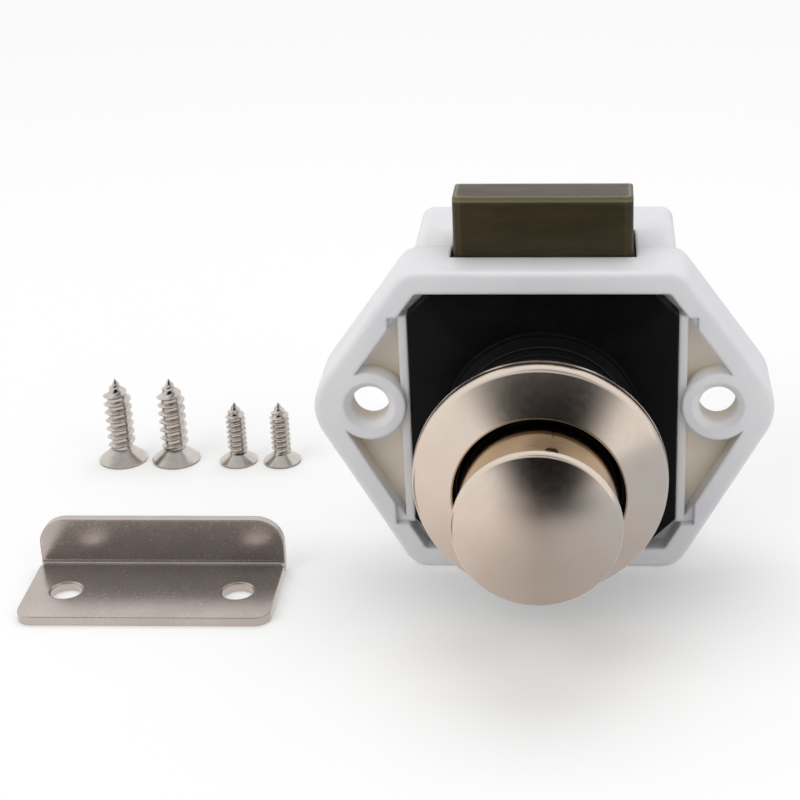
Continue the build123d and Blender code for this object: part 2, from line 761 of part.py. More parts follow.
with BuildPart() as follower_leaf:
    with BuildSketch(Plane.XY.offset(-shelf_top)):
        with Locations((0, (leaf_front + leaf_back) / 2)):
            Rectangle(2 * leaf_half, leaf_back - leaf_front)
        with Locations((0, pivot_back)):
            Circle(wire_r + seat_gap, mode=Mode.SUBTRACT)
    extrude(amount=leaf_thick)
    fillet(follower_leaf.edges().filter_by(Axis.Z), radius=leaf_half / 2)
follower_leaf.part.label = "follower_leaf"
export_step(follower_leaf.part, "parts/follower_leaf.step")

# Rosette: threaded nut and the dished cover in front of it
with BuildPart() as rosette_nut:
    with BuildSketch(Plane.XY):
        with BuildLine():
            Polyline(
                (nut_bore_r, -door_thick),
                (rosette_r, -door_thick),
                (rosette_r, -door_thick - flange_thick),
                (nut_step_r, -door_thick - flange_thick),
                (nut_step_r, -door_thick - nut_step_depth),
                (nut_bore_r, -hub_end),
                close=True,
            )
        make_face()
    revolve(axis=Axis.Y)
rosette_nut.part.label = "rosette_nut"
export_step(rosette_nut.part, "parts/rosette_nut.step")

with BuildPart() as rosette_cover:
    with BuildSketch(Plane.XY):
        with BuildLine():
            Polyline(
                (opening_r, -opening_front),
                (opening_r, cover_wall - opening_front),
                (skirt_inner_r, -door_thick - flange_thick - groove_gap),
                (rosette_r, -door_thick - flange_thick - groove_gap),
                (rosette_r, -cover_side),
            )
            RadiusArc((rosette_r, -cover_side), (cover_bevel_r, -cover_bevel), cover_round)
            SagittaArc((cover_bevel_r, -cover_bevel), (opening_r, -opening_front), cover_bulge)
        make_face()
    revolve(axis=Axis.Y)
rosette_cover.part.label = "rosette_cover"
export_step(rosette_cover.part, "parts/rosette_cover.step")

# Four screws of the rear case, all alike
with BuildPart() as case_screws:
    with BuildSketch(Plane.XZ.offset(-body_depth - ear_thick - case_screw_head)):
        with Locations((-ear_x, ear_high), (ear_x, ear_high), (-ear_x, -ear_low), (ear_x, -ear_low)):
            Circle(case_screw_r)
    extrude(amount=case_screw_length)
    chamfer(case_screws.faces().filter_by(Axis.Y).group_by(Axis.Y)[0].edges(), length=case_screw_r / 2)
    with BuildSketch(Plane.XZ.offset(-body_depth - ear_thick - case_screw_head)):
        with Locations((-ear_x, ear_high), (ear_x, ear_high), (-ear_x, -ear_low), (ear_x, -ear_low)):
            Circle(case_screw_head_r)
    extrude(amount=case_screw_head - fit_gap)
    chamfer(case_screws.faces().filter_by(Axis.Y).group_by(Axis.Y)[-1].edges(), length=head_edge)
    with BuildSketch(Plane.XZ.offset(-body_depth - ear_thick - case_screw_head)):
        with Locations((-ear_x, ear_high), (ear_x, ear_high), (-ear_x, -ear_low), (ear_x, -ear_low)):
            Rectangle(case_screw_r / 2, 2 * drive_r)
            Rectangle(2 * drive_r, case_screw_r / 2)
    extrude(amount=drive_depth, mode=Mode.SUBTRACT)
case_screws.part.label = "case_screws"
export_step(case_screws.part, "parts/case_screws.step")

# Strike plate: foot with two holes and an upright lip behind
with BuildPart() as strike_plate:
    with BuildSketch(Plane.YZ.offset(-strike_left)):
        with BuildLine():
            Polyline(
                (strike_near, -body_bottom),
                (strike_near + strike_depth, -body_bottom),
                (strike_near + strike_depth, strike_lip - body_bottom),
                (strike_near + strike_depth - strike_thick, strike_lip - body_bottom),
                (strike_near + strike_depth - strike_thick, strike_thick - body_bottom),
                (strike_near, strike_thick - body_bottom),
                close=True,
            )
        make_face()
    extrude(amount=strike_width)
    along = strike_plate.edges().filter_by(Axis.X)
    outer_bend = along.sort_by(Axis.Z)[0:2].sort_by(Axis.Y)[-1]
    lip_front = strike_near + strike_depth - strike_thick
    inner_bend = along.filter_by(lambda e: abs(e.center().Y - lip_front) < fit_gap)
    fillet(outer_bend, radius=bend_round + strike_thick)
    fillet(inner_bend.sort_by(Axis.Z)[0], radius=bend_round)
    fillet(strike_plate.edges().filter_by(Axis.Y).group_by(Axis.Z)[-1], radius=lip_round)
    fillet(strike_plate.edges().filter_by(Axis.Z).group_by(Axis.Y)[0], radius=foot_round)
    # Half-round nicks at the ends of the bend
    with BuildSketch(Plane.XY.offset(-body_bottom)):
        for end in (0, strike_width):
            with Locations((end - strike_left, lip_front - bend_round)):
                Circle(bend_nick_r)
    extrude(amount=strike_thick + bend_round, mode=Mode.SUBTRACT)
    for side in (-1, 1):
        hole_x = strike_width / 2 - strike_left + side * strike_hole_spacing / 2
        with BuildSketch(Plane.XY.offset(-body_bottom)):
            with Locations((hole_x, strike_near + strike_hole_inset)):
                Circle(strike_hole_r)
        extrude(amount=strike_thick, mode=Mode.SUBTRACT)
    hole_edges = strike_plate.edges().filter_by(lambda e: e.geom_type == GeomType.CIRCLE and e.is_closed)
    chamfer(hole_edges.group_by(Axis.Z)[-1], length=strike_hole_edge)
strike_plate.part.label = "strike_plate"
export_step(strike_plate.part, "parts/strike_plate.step")

# Two large door screws, standing on their heads
with BuildPart() as door_screws:
    with BuildSketch(Plane((-large_x, large_y, -body_bottom), x_dir=(1, 0, 0), z_dir=(0, -1, 0))):
        with BuildLine():
            Polyline(
                (0, 0),
                (large_head_r, 0),
                (large_head_r, head_edge),
                (large_shank_r, large_head_height),
                (large_shank_r, large_length - large_tip),
                (tip_point_r, large_length),
                (0, large_length),
                close=True,
            )
        make_face()
    revolve(axis=Axis((-large_x, large_y, 0), (0, 0, 1)))
    with BuildSketch(Plane.XY.offset(-body_bottom)):
        with Locations((-large_x, large_y)):
            Rectangle(recess_width, 2 * large_head_r * recess_reach_share)
            Rectangle(2 * large_head_r * recess_reach_share, recess_width)
    extrude(amount=recess_depth, mode=Mode.SUBTRACT)
    add(door_screws.part.moved(Location((large_step, 0, 0))))
door_screws.part.label = "door_screws"
export_step(door_screws.part, "parts/door_screws.step")

# Two small strike screws, standing on their heads
with BuildPart() as strike_screws:
    with BuildSketch(Plane((-small_x, small_y, -body_bottom), x_dir=(1, 0, 0), z_dir=(0, -1, 0))):
        with BuildLine():
            Polyline(
                (0, 0),
                (small_head_r, 0),
                (small_head_r, head_edge),
                (small_shank_r, small_head_height),
                (small_shank_r, small_length - small_tip),
                (tip_point_r, small_length),
                (0, small_length),
                close=True,
            )
        make_face()
    revolve(axis=Axis((-small_x, small_y, 0), (0, 0, 1)))
    with BuildSketch(Plane.XY.offset(-body_bottom)):
        with Locations((-small_x, small_y)):
            Rectangle(recess_width, 2 * small_head_r * recess_reach_share)
            Rectangle(2 * small_head_r * recess_reach_share, recess_width)
    extrude(amount=small_recess_depth, mode=Mode.SUBTRACT)
    add(strike_screws.part.moved(Location((small_step, 0, 0))))
strike_screws.part.label = "strike_screws"
export_step(strike_screws.part, "parts/strike_screws.step")
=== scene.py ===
from math import atan2, cos, pi, radians, sin

import bmesh
import bpy
from mathutils import Matrix, Vector


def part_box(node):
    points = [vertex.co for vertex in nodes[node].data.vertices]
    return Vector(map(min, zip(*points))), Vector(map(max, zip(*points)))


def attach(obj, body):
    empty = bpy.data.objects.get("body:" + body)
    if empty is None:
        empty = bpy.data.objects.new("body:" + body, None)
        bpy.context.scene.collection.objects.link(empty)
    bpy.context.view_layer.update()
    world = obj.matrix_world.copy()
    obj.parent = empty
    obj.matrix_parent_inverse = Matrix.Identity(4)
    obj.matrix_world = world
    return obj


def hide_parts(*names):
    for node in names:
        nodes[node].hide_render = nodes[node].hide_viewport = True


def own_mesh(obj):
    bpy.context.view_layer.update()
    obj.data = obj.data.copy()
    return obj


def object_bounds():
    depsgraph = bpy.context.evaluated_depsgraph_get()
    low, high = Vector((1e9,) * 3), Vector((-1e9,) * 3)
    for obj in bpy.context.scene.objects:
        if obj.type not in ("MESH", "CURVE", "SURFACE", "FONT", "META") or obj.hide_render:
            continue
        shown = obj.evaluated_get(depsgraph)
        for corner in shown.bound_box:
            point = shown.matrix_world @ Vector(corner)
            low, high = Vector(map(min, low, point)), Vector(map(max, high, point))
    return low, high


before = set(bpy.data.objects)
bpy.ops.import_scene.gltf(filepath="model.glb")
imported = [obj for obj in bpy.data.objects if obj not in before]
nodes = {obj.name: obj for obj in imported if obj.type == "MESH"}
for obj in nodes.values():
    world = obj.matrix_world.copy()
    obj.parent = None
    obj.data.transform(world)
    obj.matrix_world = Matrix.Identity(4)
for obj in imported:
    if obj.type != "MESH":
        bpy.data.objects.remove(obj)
cad_box = [list(corner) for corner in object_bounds()]
MM = 0.001
WHITE = (1, 1, 1, 1)


def corners(node):
    """Lowest and highest corner of a node."""
    low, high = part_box(node)
    return Vector(low), Vector(high)


# Node helpers, for materials, shapes and the studio alike


def feed(tree, socket, value):
    """Puts a plain value, an amount or another node's output into a socket."""
    if isinstance(value, Amount):
        value = value.socket
    if isinstance(value, bpy.types.NodeSocket):
        tree.links.new(value, socket)
    else:
        socket.default_value = value


def add_node(tree, kind, settings=None, **inputs):
    """Adds a node; inputs are sockets, amounts or plain values, named with _ for spaces."""
    node = tree.nodes.new(kind)
    for key, value in (settings or {}).items():
        setattr(node, key, value)
    for key, value in inputs.items():
        feed(tree, node.inputs[key.replace("_", " ")], value)
    return node


def colour_ramp(tree, source, stops):
    """Colour that passes through (position, colour) stops while the source goes from 0 to 1."""
    ramp = add_node(tree, "ShaderNodeValToRGB", Fac=source)
    elements = ramp.color_ramp.elements
    while len(elements) < len(stops):
        elements.new(0.5)
    for element, (position, colour) in zip(elements, stops):
        element.position = position
        element.color = (*colour, 1)
    return ramp.outputs["Color"]


def shader_mix(tree, factor, first, second):
    """First shader where the factor is 0, second where it is 1."""
    mix = add_node(tree, "ShaderNodeMixShader", Fac=factor)
    feed(tree, mix.inputs[1], first)
    feed(tree, mix.inputs[2], second)
    return mix.outputs[0]


class Amount:
    """A number inside a node tree; sums on it become math nodes."""

    def __init__(self, tree, socket):
        self.tree, self.socket = tree, socket

    def made(self, operation, *values):
        node = self.tree.nodes.new("ShaderNodeMath")
        node.operation = operation
        for socket, value in zip(node.inputs, values):
            feed(self.tree, socket, value)
        return Amount(self.tree, node.outputs[0])

    def __add__(self, other):
        return self.made("ADD", self, other)

    def __sub__(self, other):
        return self.made("SUBTRACT", self, other)

    def __rsub__(self, other):
        return self.made("SUBTRACT", other, self)

    def __mul__(self, other):
        return self.made("MULTIPLY", self, other)

    def __truediv__(self, other):
        return self.made("DIVIDE", self, other)

    def __rtruediv__(self, other):
        return self.made("DIVIDE", other, self)

    def __neg__(self):
        return self.made("MULTIPLY", self, -1.0)

    def __abs__(self):
        return self.made("ABSOLUTE", self)

    def root(self):
        return self.made("SQRT", self)

    def sine(self):
        return self.made("SINE", self)

    def cosine(self):
        return self.made("COSINE", self)

    def fraction(self):
        """What is left of the number without its whole part."""
        return self.made("FRACT", self)

    def above(self, limit):
        """1 above the limit, 0 below it."""
        return self.made("GREATER_THAN", self, limit)

    def at_least(self, other):
        return self.made("MAXIMUM", self, other)

    def at_most(self, other):
        return self.made("MINIMUM", self, other)

    def along(self, start, end):
        """Goes from 0 to 1 between start and end, and stays there beyond them."""
        return ((self - start) / (end - start)).at_least(0.0).at_most(1.0)


# Finishes. A span says between which values of its source a layer goes from 0 to 1: noise for
# tone, grain and speckle, how open the surface lies, and how far a rounded normal has turned.

GRAIN_ROUGHNESS = 0.55
TONE_SPAN = (0.3, 0.7)
GRAIN_SPAN = (0.25, 0.75)
OPEN_AIR_SPAN = (0.4, 0.85)
EDGE_SPAN = (0.996, 0.93)
SPECKLE_SPAN, SPECKLE_SHARE = (0.62, 0.75), 0.35
SOFT_EDGE_SAMPLES = 6
LOOK_ROUND_SAMPLES = 8


class Finish:
    """A material with one principled shader, built up from small procedural layers."""

    def __init__(self, name, **settings):
        self.material = bpy.data.materials.new(name)
        self.material.use_nodes = True
        self.tree = self.material.node_tree
        self.shader = self.tree.nodes["Principled BSDF"]
        for socket, value in settings.items():
            self.shader.inputs[socket.replace("_", " ")].default_value = value
        self.place = self.tree.nodes.new("ShaderNodeTexCoord").outputs["Object"]
        self.normal = None

    def add(self, kind, settings=None, **inputs):
        return add_node(self.tree, kind, settings, **inputs)

    def amount(self, node, output):
        return Amount(self.tree, node.outputs[output])

    def axis(self, name):
        """The surface's place along one axis."""
        return self.amount(self.add("ShaderNodeSeparateXYZ", Vector=self.place), name)

    def stretched(self, scale):
        """The surface's place, scaled on each axis: a small scale draws the grains out."""
        return self.add("ShaderNodeMapping", Scale=scale, Vector=self.place).outputs["Vector"]

    def noise(self, size, detail, where=None):
        """Noise whose grains are about size metres across."""
        grains = self.add("ShaderNodeTexNoise", Scale=1 / size, Detail=detail,
                          Roughness=GRAIN_ROUGHNESS, Vector=where or self.place)
        return self.amount(grains, "Fac")

    def tones(self, source, dark, light):
        """Colour between dark and light, as the source says."""
        return colour_ramp(self.tree, source, tuple(zip(TONE_SPAN, (dark, light))))

    def blend(self, factor, first, second):
        """First colour where the factor is 0, second where it is 1."""
        first, second = ((*colour, 1) if isinstance(colour, tuple) else colour
                         for colour in (first, second))
        return self.add("ShaderNodeMix", {"data_type": "RGBA"},
                        Factor=factor, A=first, B=second).outputs["Result"]

    def colour(self, source):
        feed(self.tree, self.shader.inputs["Base Color"], source)

    def roughness(self, source, low, high):
        feed(self.tree, self.shader.inputs["Roughness"],
             source.along(*GRAIN_SPAN) * (high - low) + low)

    def turn_normal(self, node):
        """Puts a node that turns the surface's normal on top of those before it."""
        if self.normal is not None:
            feed(self.tree, node.inputs["Normal"], self.normal)
        self.normal = node.outputs["Normal"]
        feed(self.tree, self.shader.inputs["Normal"], self.normal)

    def bump(self, source, depth, strength):
        self.turn_normal(self.add("ShaderNodeBump", Distance=depth, Strength=strength,
                                  Height=source))

    def soft_edges(self, radius):
        """Edges catch the light as if rounded by this radius."""
        self.turn_normal(self.add("ShaderNodeBevel", {"samples": SOFT_EDGE_SAMPLES},
                                  Radius=radius))

    def open_air(self, reach):
        """1 where the surface lies open, 0 deep in a groove as wide as the reach."""
        node = self.add("ShaderNodeAmbientOcclusion", {"samples": LOOK_ROUND_SAMPLES},
                        Distance=reach)
        return self.amount(node, "AO").along(*OPEN_AIR_SPAN)

    def edge_wear_and_highlight(self, width):
        """1 along the edges, 0 on the flats: where a rounded normal leaves the true one; edge wear
        on the black moulding, a painted highlight on the bolt.
        """
        rounded = self.add("ShaderNodeBevel", {"samples": LOOK_ROUND_SAMPLES}, Radius=width)
        near = self.add("ShaderNodeVectorMath", {"operation": "DOT_PRODUCT"})
        true = self.tree.nodes.new("ShaderNodeNewGeometry")
        feed(self.tree, near.inputs[0], rounded.outputs["Normal"])
        feed(self.tree, near.inputs[1], true.outputs["Normal"])
        return self.amount(near, "Value").along(*EDGE_SPAN)


# Where the frame's pockets get their painted shade, warmer and darker than the rim: the middle and
# half the height of the opening, which way its slanted sides face and how far out they are, how
# soft its edge is, and the depths between which the painted shade comes in at the mouth and goes
# out at the floor
POCKET_MIDDLE = 0.2 * MM
POCKET_HALF_HEIGHT = 18.8 * MM
POCKET_SLANT = (0.797, 0.604)
POCKET_SLANT_REACH = 22.6 * MM
POCKET_SOFT_EDGE = 0.8 * MM
POCKET_MOUTH = (0.4 * MM, 2.4 * MM)
POCKET_FLOOR = (5.6 * MM, 4.6 * MM)


def white_nylon():
    """Moulded white nylon: cool on the rim, with warmer, darker painted shade down in the pockets.
    """
    finish = Finish("white_nylon", Roughness=0.42, Subsurface_Weight=0.12, Specular_IOR_Level=0.45,
                    Subsurface_Radius=(1.6 * MM, 1.4 * MM, 1.1 * MM), Subsurface_Scale=1.0)
    finish.soft_edges(0.6 * MM)
    cloud = finish.noise(9 * MM, detail=2.0)
    rim = finish.tones(cloud, dark=(0.83, 0.83, 0.855), light=(0.88, 0.88, 0.9))
    # The pocket colour is painted shade: warmer and darker than the rim, used only down in the
    # recesses.
    pocket_shade = finish.tones(cloud, dark=(0.8, 0.72, 0.61), light=(0.86, 0.79, 0.68))
    side = abs(finish.axis("X"))
    tall = abs(finish.axis("Z") - POCKET_MIDDLE)
    slant = side * POCKET_SLANT[0] + tall * POCKET_SLANT[1]
    inside = (slant.along(POCKET_SLANT_REACH, POCKET_SLANT_REACH - POCKET_SOFT_EDGE)
              * tall.along(POCKET_HALF_HEIGHT, POCKET_HALF_HEIGHT - POCKET_SOFT_EDGE))
    deep = finish.axis("Y").along(*POCKET_MOUTH) * finish.axis("Y").along(*POCKET_FLOOR)
    # Painted shade: the pocket colour comes in between the pockets' mouth and floor.
    finish.colour(finish.blend(deep * inside, rim, pocket_shade))
    finish.roughness(finish.noise(1.2 * MM, detail=4.0), low=0.36, high=0.5)
    finish.bump(finish.noise(0.35 * MM, detail=3.0), depth=0.01 * MM, strength=0.5)
    finish.bump(finish.noise(6 * MM, detail=1.0), depth=0.06 * MM, strength=0.35)
    return finish.material


def black_plastic():
    """Satin black moulding, a little paler along its edges."""
    finish = Finish("black_plastic", Roughness=0.42, Specular_IOR_Level=0.09)
    finish.soft_edges(0.2 * MM)
    cloud = finish.noise(4 * MM, detail=3.0)
    base = finish.tones(cloud, dark=(0.0022, 0.0022, 0.0025), light=(0.0042, 0.0042, 0.0046))
    finish.colour(finish.blend(finish.edge_wear_and_highlight(0.4 * MM), base, (0.05, 0.05, 0.055)))
    finish.roughness(finish.noise(1 * MM, detail=4.0), low=0.36, high=0.5)
    finish.bump(finish.noise(0.3 * MM, detail=3.0), depth=0.008 * MM, strength=0.5)
    return finish.material


def olive_plastic():
    """Olive brown glass-filled plastic with faint flow lines along the bolt and a painted highlight
    along its edges.
    """
    finish = Finish("olive_plastic", Roughness=0.34, Specular_IOR_Level=0.32,
                    Specular_Tint=(1.0, 0.9, 0.7, 1.0))
    finish.soft_edges(0.6 * MM)
    flow = finish.noise(1.6 * MM, detail=4.0, where=finish.stretched((0.35, 1.0, 1.4)))
    base = finish.tones(flow, dark=(0.03, 0.022, 0.0095), light=(0.042, 0.031, 0.015))
    # The pale band along the bolt's edges is a painted highlight.
    finish.colour(finish.blend(finish.edge_wear_and_highlight(1.1 * MM), base, (0.46, 0.4, 0.25)))
    finish.roughness(flow, low=0.28, high=0.44)
    finish.bump(finish.noise(0.25 * MM, detail=3.0), depth=0.01 * MM, strength=0.5)
    return finish.material


def satin_nickel():
    """Pearl nickel plating: a fine even grain with a warm tint."""
    finish = Finish("satin_nickel", Metallic=1.0, Roughness=0.22)
    cloud = finish.noise(5 * MM, detail=3.0)
    finish.colour(finish.tones(cloud, dark=(0.7, 0.6, 0.515), light=(0.74, 0.635, 0.55)))
    finish.roughness(finish.noise(0.7 * MM, detail=5.0), low=0.19, high=0.26)
    finish.bump(finish.noise(0.12 * MM, detail=3.0), depth=0.0025 * MM, strength=0.6)
    return finish.material


def polished_neck():
    """Polished plating over brass, with fine turning lines round the neck."""
    finish = Finish("polished_neck", Metallic=1.0, Roughness=0.13)
    rings = finish.noise(0.4 * MM, detail=3.0, where=finish.stretched((0.02, 1.0, 0.02)))
    finish.colour(finish.tones(rings, dark=(0.54, 0.41, 0.26), light=(0.6, 0.465, 0.31)))
    finish.roughness(rings, low=0.1, high=0.17)
    finish.bump(rings, depth=0.003 * MM, strength=0.5)
    return finish.material


def dark_steel():
    """Dark end of the small pin."""
    finish = Finish("dark_steel", Metallic=1.0, Roughness=0.4)
    cloud = finish.noise(0.5 * MM, detail=3.0)
    finish.colour(finish.tones(cloud, dark=(0.05, 0.045, 0.04), light=(0.12, 0.11, 0.1)))
    finish.roughness(cloud, low=0.3, high=0.5)
    return finish.material


def bright_nickel():
    """Bright plating of the screws, with painted shade, dark brown, deep in the thread."""
    finish = Finish("bright_nickel", Metallic=1.0, Roughness=0.18)
    cloud = finish.noise(1.2 * MM, detail=4.0)
    plate = finish.tones(cloud, dark=(0.54, 0.5, 0.46), light=(0.66, 0.62, 0.58))
    # Painted shade: the colour goes dark brown where ambient occlusion finds the thread's grooves
    # closed in.
    finish.colour(finish.blend(finish.open_air(0.9 * MM), (0.1, 0.075, 0.06), plate))
    finish.roughness(cloud, low=0.13, high=0.24)
    finish.bump(finish.noise(0.2 * MM, detail=3.0), depth=0.004 * MM, strength=0.5)
    return finish.material


def strike_nickel():
    """Plated sheet steel with fine speckle from rolling."""
    finish = Finish("strike_nickel", Metallic=0.8, Roughness=0.22)
    finish.soft_edges(0.25 * MM)
    speckle = finish.noise(0.35 * MM, detail=5.0)
    cloud = finish.noise(4 * MM, detail=2.0)
    base = finish.tones(cloud, dark=(0.51, 0.45, 0.415), light=(0.565, 0.505, 0.47))
    pale = speckle.along(*SPECKLE_SPAN) * SPECKLE_SHARE
    finish.colour(finish.blend(pale, base, (0.8, 0.78, 0.74)))
    finish.roughness(speckle, low=0.17, high=0.29)
    finish.bump(speckle, depth=0.006 * MM, strength=0.6)
    return finish.material


def spring_steel():
    """Drawn spring wire."""
    finish = Finish("spring_steel", Metallic=1.0, Roughness=0.28)
    streak = finish.noise(0.6 * MM, detail=4.0)
    finish.colour(finish.tones(streak, dark=(0.5, 0.5, 0.5), light=(0.6, 0.6, 0.61)))
    finish.roughness(streak, low=0.22, high=0.36)
    return finish.material


def grey_acetal():
    """Smooth dark grey acetal of the plunger."""
    finish = Finish("grey_acetal", Roughness=0.38)
    finish.soft_edges(0.15 * MM)
    cloud = finish.noise(3 * MM, detail=3.0)
    finish.colour(finish.tones(cloud, dark=(0.14, 0.14, 0.145), light=(0.17, 0.17, 0.175)))
    finish.roughness(cloud, low=0.32, high=0.44)
    finish.bump(finish.noise(0.4 * MM, detail=3.0), depth=0.01 * MM, strength=0.4)
    return finish.material


FINISHES = {
    white_nylon: ("front_frame", "rear_case"),
    black_plastic: ("carrier",),
    olive_plastic: ("bolt",),
    satin_nickel: ("rosette_nut", "rosette_cover", "knob_cap"),
    polished_neck: ("knob_sleeve",),
    dark_steel: ("sleeve_pin",),
    bright_nickel: ("knob_screw", "case_screws", "door_screws", "strike_screws"),
    strike_nickel: ("strike_plate",),
    spring_steel: ("knob_spring", "bolt_spring_left", "bolt_spring_right", "follower_wire",
                   "follower_leaf"),
    grey_acetal: ("plunger",),
}
finish_of = {}
for make, members in FINISHES.items():
    finish_of[make.__name__] = make()
    for member in members:
        nodes[member].data.materials.clear()
        nodes[member].data.materials.append(finish_of[make.__name__])

# Geometry node trees for what is turned, repeats or winds. A turned shape is a grid of faces
# bent round an axis: its columns go round, and its rows follow the profile from one end to the
# other. Each stretch of a profile has its own share of the rows, written as (start, end).

SHARP_ANGLE = radians(38)
ONTO_MINUS_Y = (pi / 2, 0.0, 0.0)
ONTO_PLUS_Y = (-pi / 2, 0.0, 0.0)


class Recipe:
    """A geometry node tree with named sizes; make() turns it into a plain mesh piece."""

    SOCKETS = {int: "NodeSocketInt", float: "NodeSocketFloat", tuple: "NodeSocketVector"}
    WELD = 1e-7

    def __init__(self, name, **sizes):
        self.tree = bpy.data.node_groups.new(name, "GeometryNodeTree")
        self.sockets = {}
        for label, value in sizes.items():
            self.named(label, self.SOCKETS[type(value)]).default_value = value
        self.named("Finish", "NodeSocketMaterial")
        self.tree.interface.new_socket("Shape", in_out="OUTPUT",
                                       socket_type="NodeSocketGeometry")
        self.source = self.tree.nodes.new("NodeGroupInput")

    def named(self, label, kind):
        socket = self.tree.interface.new_socket(label, in_out="INPUT", socket_type=kind)
        self.sockets[label] = socket.identifier
        return socket

    def size(self, label):
        return Amount(self.tree, self.source.outputs[label])

    def node(self, kind, settings=None, **inputs):
        return add_node(self.tree, kind, settings, **inputs).outputs[0]

    def point(self, x, y, z):
        return self.node("ShaderNodeCombineXYZ", X=x, Y=y, Z=z)

    def index(self):
        """Number of each point, from 0."""
        return Amount(self.tree, self.node("GeometryNodeInputIndex"))

    def sheet(self, columns, rows):
        """Grid of faces with the two amounts that run 0 to 1 across it and over it."""
        grid = self.node("GeometryNodeMeshGrid", Size_X=1.0, Size_Y=1.0,
                         Vertices_X=columns + 1, Vertices_Y=rows + 1)
        split = add_node(self.tree, "ShaderNodeSeparateXYZ",
                         Vector=self.node("GeometryNodeInputPosition"))
        across, over = (Amount(self.tree, split.outputs[axis]) + 0.5 for axis in "XY")
        return grid, across, over

    def arc(self, share, radius, lean, end_lean):
        """How far out and how far back a round goes while its lean turns to the end lean."""
        turn = lean + (end_lean - lean) * share
        return radius * (turn.sine() - lean.sine()), radius * (lean.cosine() - turn.cosine())

    def turned(self, grid, round_share, radius, height):
        """Bends the grid round the Z axis and closes its seam and its poles."""
        angle = round_share * (2 * pi)
        spot = self.point(radius * angle.cosine(), radius * angle.sine(), height)
        shell = self.node("GeometryNodeSetPosition", Geometry=grid, Position=spot)
        return self.node("GeometryNodeMergeByDistance", Geometry=shell, Distance=self.WELD)

    def cut(self, body, *tools):
        """The body with the tools' shapes taken out of it."""
        node = add_node(self.tree, "GeometryNodeMeshBoolean",
                        {"operation": "DIFFERENCE", "solver": "EXACT"}, Mesh_1=body)
        for tool in tools:
            feed(self.tree, node.inputs["Mesh 2"], tool)
        return node.outputs["Mesh"]

    def close(self, shape, turn=(0.0, 0.0, 0.0)):
        """Turns and places the shape, realizes it, gives it its finish and ends the tree."""
        placed = self.node("GeometryNodeTransform", Geometry=shape, Rotation=turn,
                           Translation=self.source.outputs["Place"])
        whole = self.node("GeometryNodeRealizeInstances", Geometry=placed)
        done = self.node("GeometryNodeSetMaterial", Geometry=whole,
                         Material=self.source.outputs["Finish"])
        feed(self.tree, self.tree.nodes.new("NodeGroupOutput").inputs[0], done)

    def make(self, name, finish, **sizes):
        """Builds the shape in these sizes and turns it into a plain mesh piece."""
        piece = bpy.data.objects.new(name, bpy.data.meshes.new(name))
        bpy.context.scene.collection.objects.link(piece)
        modifier = piece.modifiers.new("recipe", "NODES")
        modifier.node_group = self.tree
        for label, value in {**sizes, "Finish": finish}.items():
            modifier[self.sockets[label]] = value
        settled = piece.evaluated_get(bpy.context.evaluated_depsgraph_get())
        mesh = bpy.data.meshes.new_from_object(settled)
        piece.modifiers.remove(modifier)
        piece.data = mesh
        mesh.name = name
        mesh.shade_smooth()
        mesh.set_sharp_from_angle(angle=SHARP_ANGLE)
        return piece


def wood_screw():
    """Countersunk screw standing on its head, tip up; a row of them stands along X."""
    recipe = Recipe("wood_screw", Place=(0.0, 0.0, 0.0), Head_Radius=3.5 * MM, Head_Edge=0.3 * MM,
                    Head_Height=2.1 * MM, Root_Radius=1.4 * MM, Crest_Radius=2.0 * MM,
                    Pitch=1.3 * MM, Thread_Flank=0.32, Length=13.0 * MM, Tip_Length=2.6 * MM,
                    Cross_Width=0.9 * MM, Cross_Reach=4.3 * MM, Cross_Depth=1.3 * MM,
                    Step=7.8 * MM, Count=2, First_Turn=0.35, Turn_Step=0.9)
    size = recipe.size
    face, edge, cone = (0.0, 0.06), (0.06, 0.08), (0.08, 0.17)
    shank, tip = (0.17, 0.87), (0.87, 1.0)
    thread_start, thread_end = (0.155, 0.2), (0.86, 0.995)
    grid, across, over = recipe.sheet(columns=40, rows=200)
    head, root, tip_length = size("Head_Radius"), size("Root_Radius"), size("Tip_Length")
    core = head * over.along(*face) - (head - root) * over.along(*cone) - root * over.along(*tip)
    height = (size("Head_Edge") * over.along(*edge)
              + (size("Head_Height") - size("Head_Edge")) * over.along(*cone)
              + (size("Length") - tip_length - size("Head_Height")) * over.along(*shank)
              + tip_length * over.along(*tip))
    turn = (height / size("Pitch") - across).fraction()
    ridge = (1.0 - abs(turn - 0.5) / size("Thread_Flank")).at_least(0.0)
    fade = over.along(*thread_start) * (1.0 - over.along(*thread_end))
    body = recipe.turned(grid, across, core + (size("Crest_Radius") - root) * ridge * fade, height)
    reach, width, depth = size("Cross_Reach"), size("Cross_Width"), size("Cross_Depth") * 2.0
    bars = [recipe.node("GeometryNodeMeshCube", Size=bar)
            for bar in (recipe.point(reach, width, depth), recipe.point(width, reach, depth))]
    spots = recipe.node("GeometryNodeMeshLine", {"mode": "OFFSET"}, Count=size("Count"),
                        Offset=recipe.point(size("Step"), 0.0, 0.0))
    own_turn = recipe.index() * size("Turn_Step") + size("First_Turn")
    recipe.close(recipe.node("GeometryNodeInstanceOnPoints", Points=spots,
                             Instance=recipe.cut(body, *bars),
                             Rotation=recipe.point(0.0, 0.0, own_turn)))
    return recipe


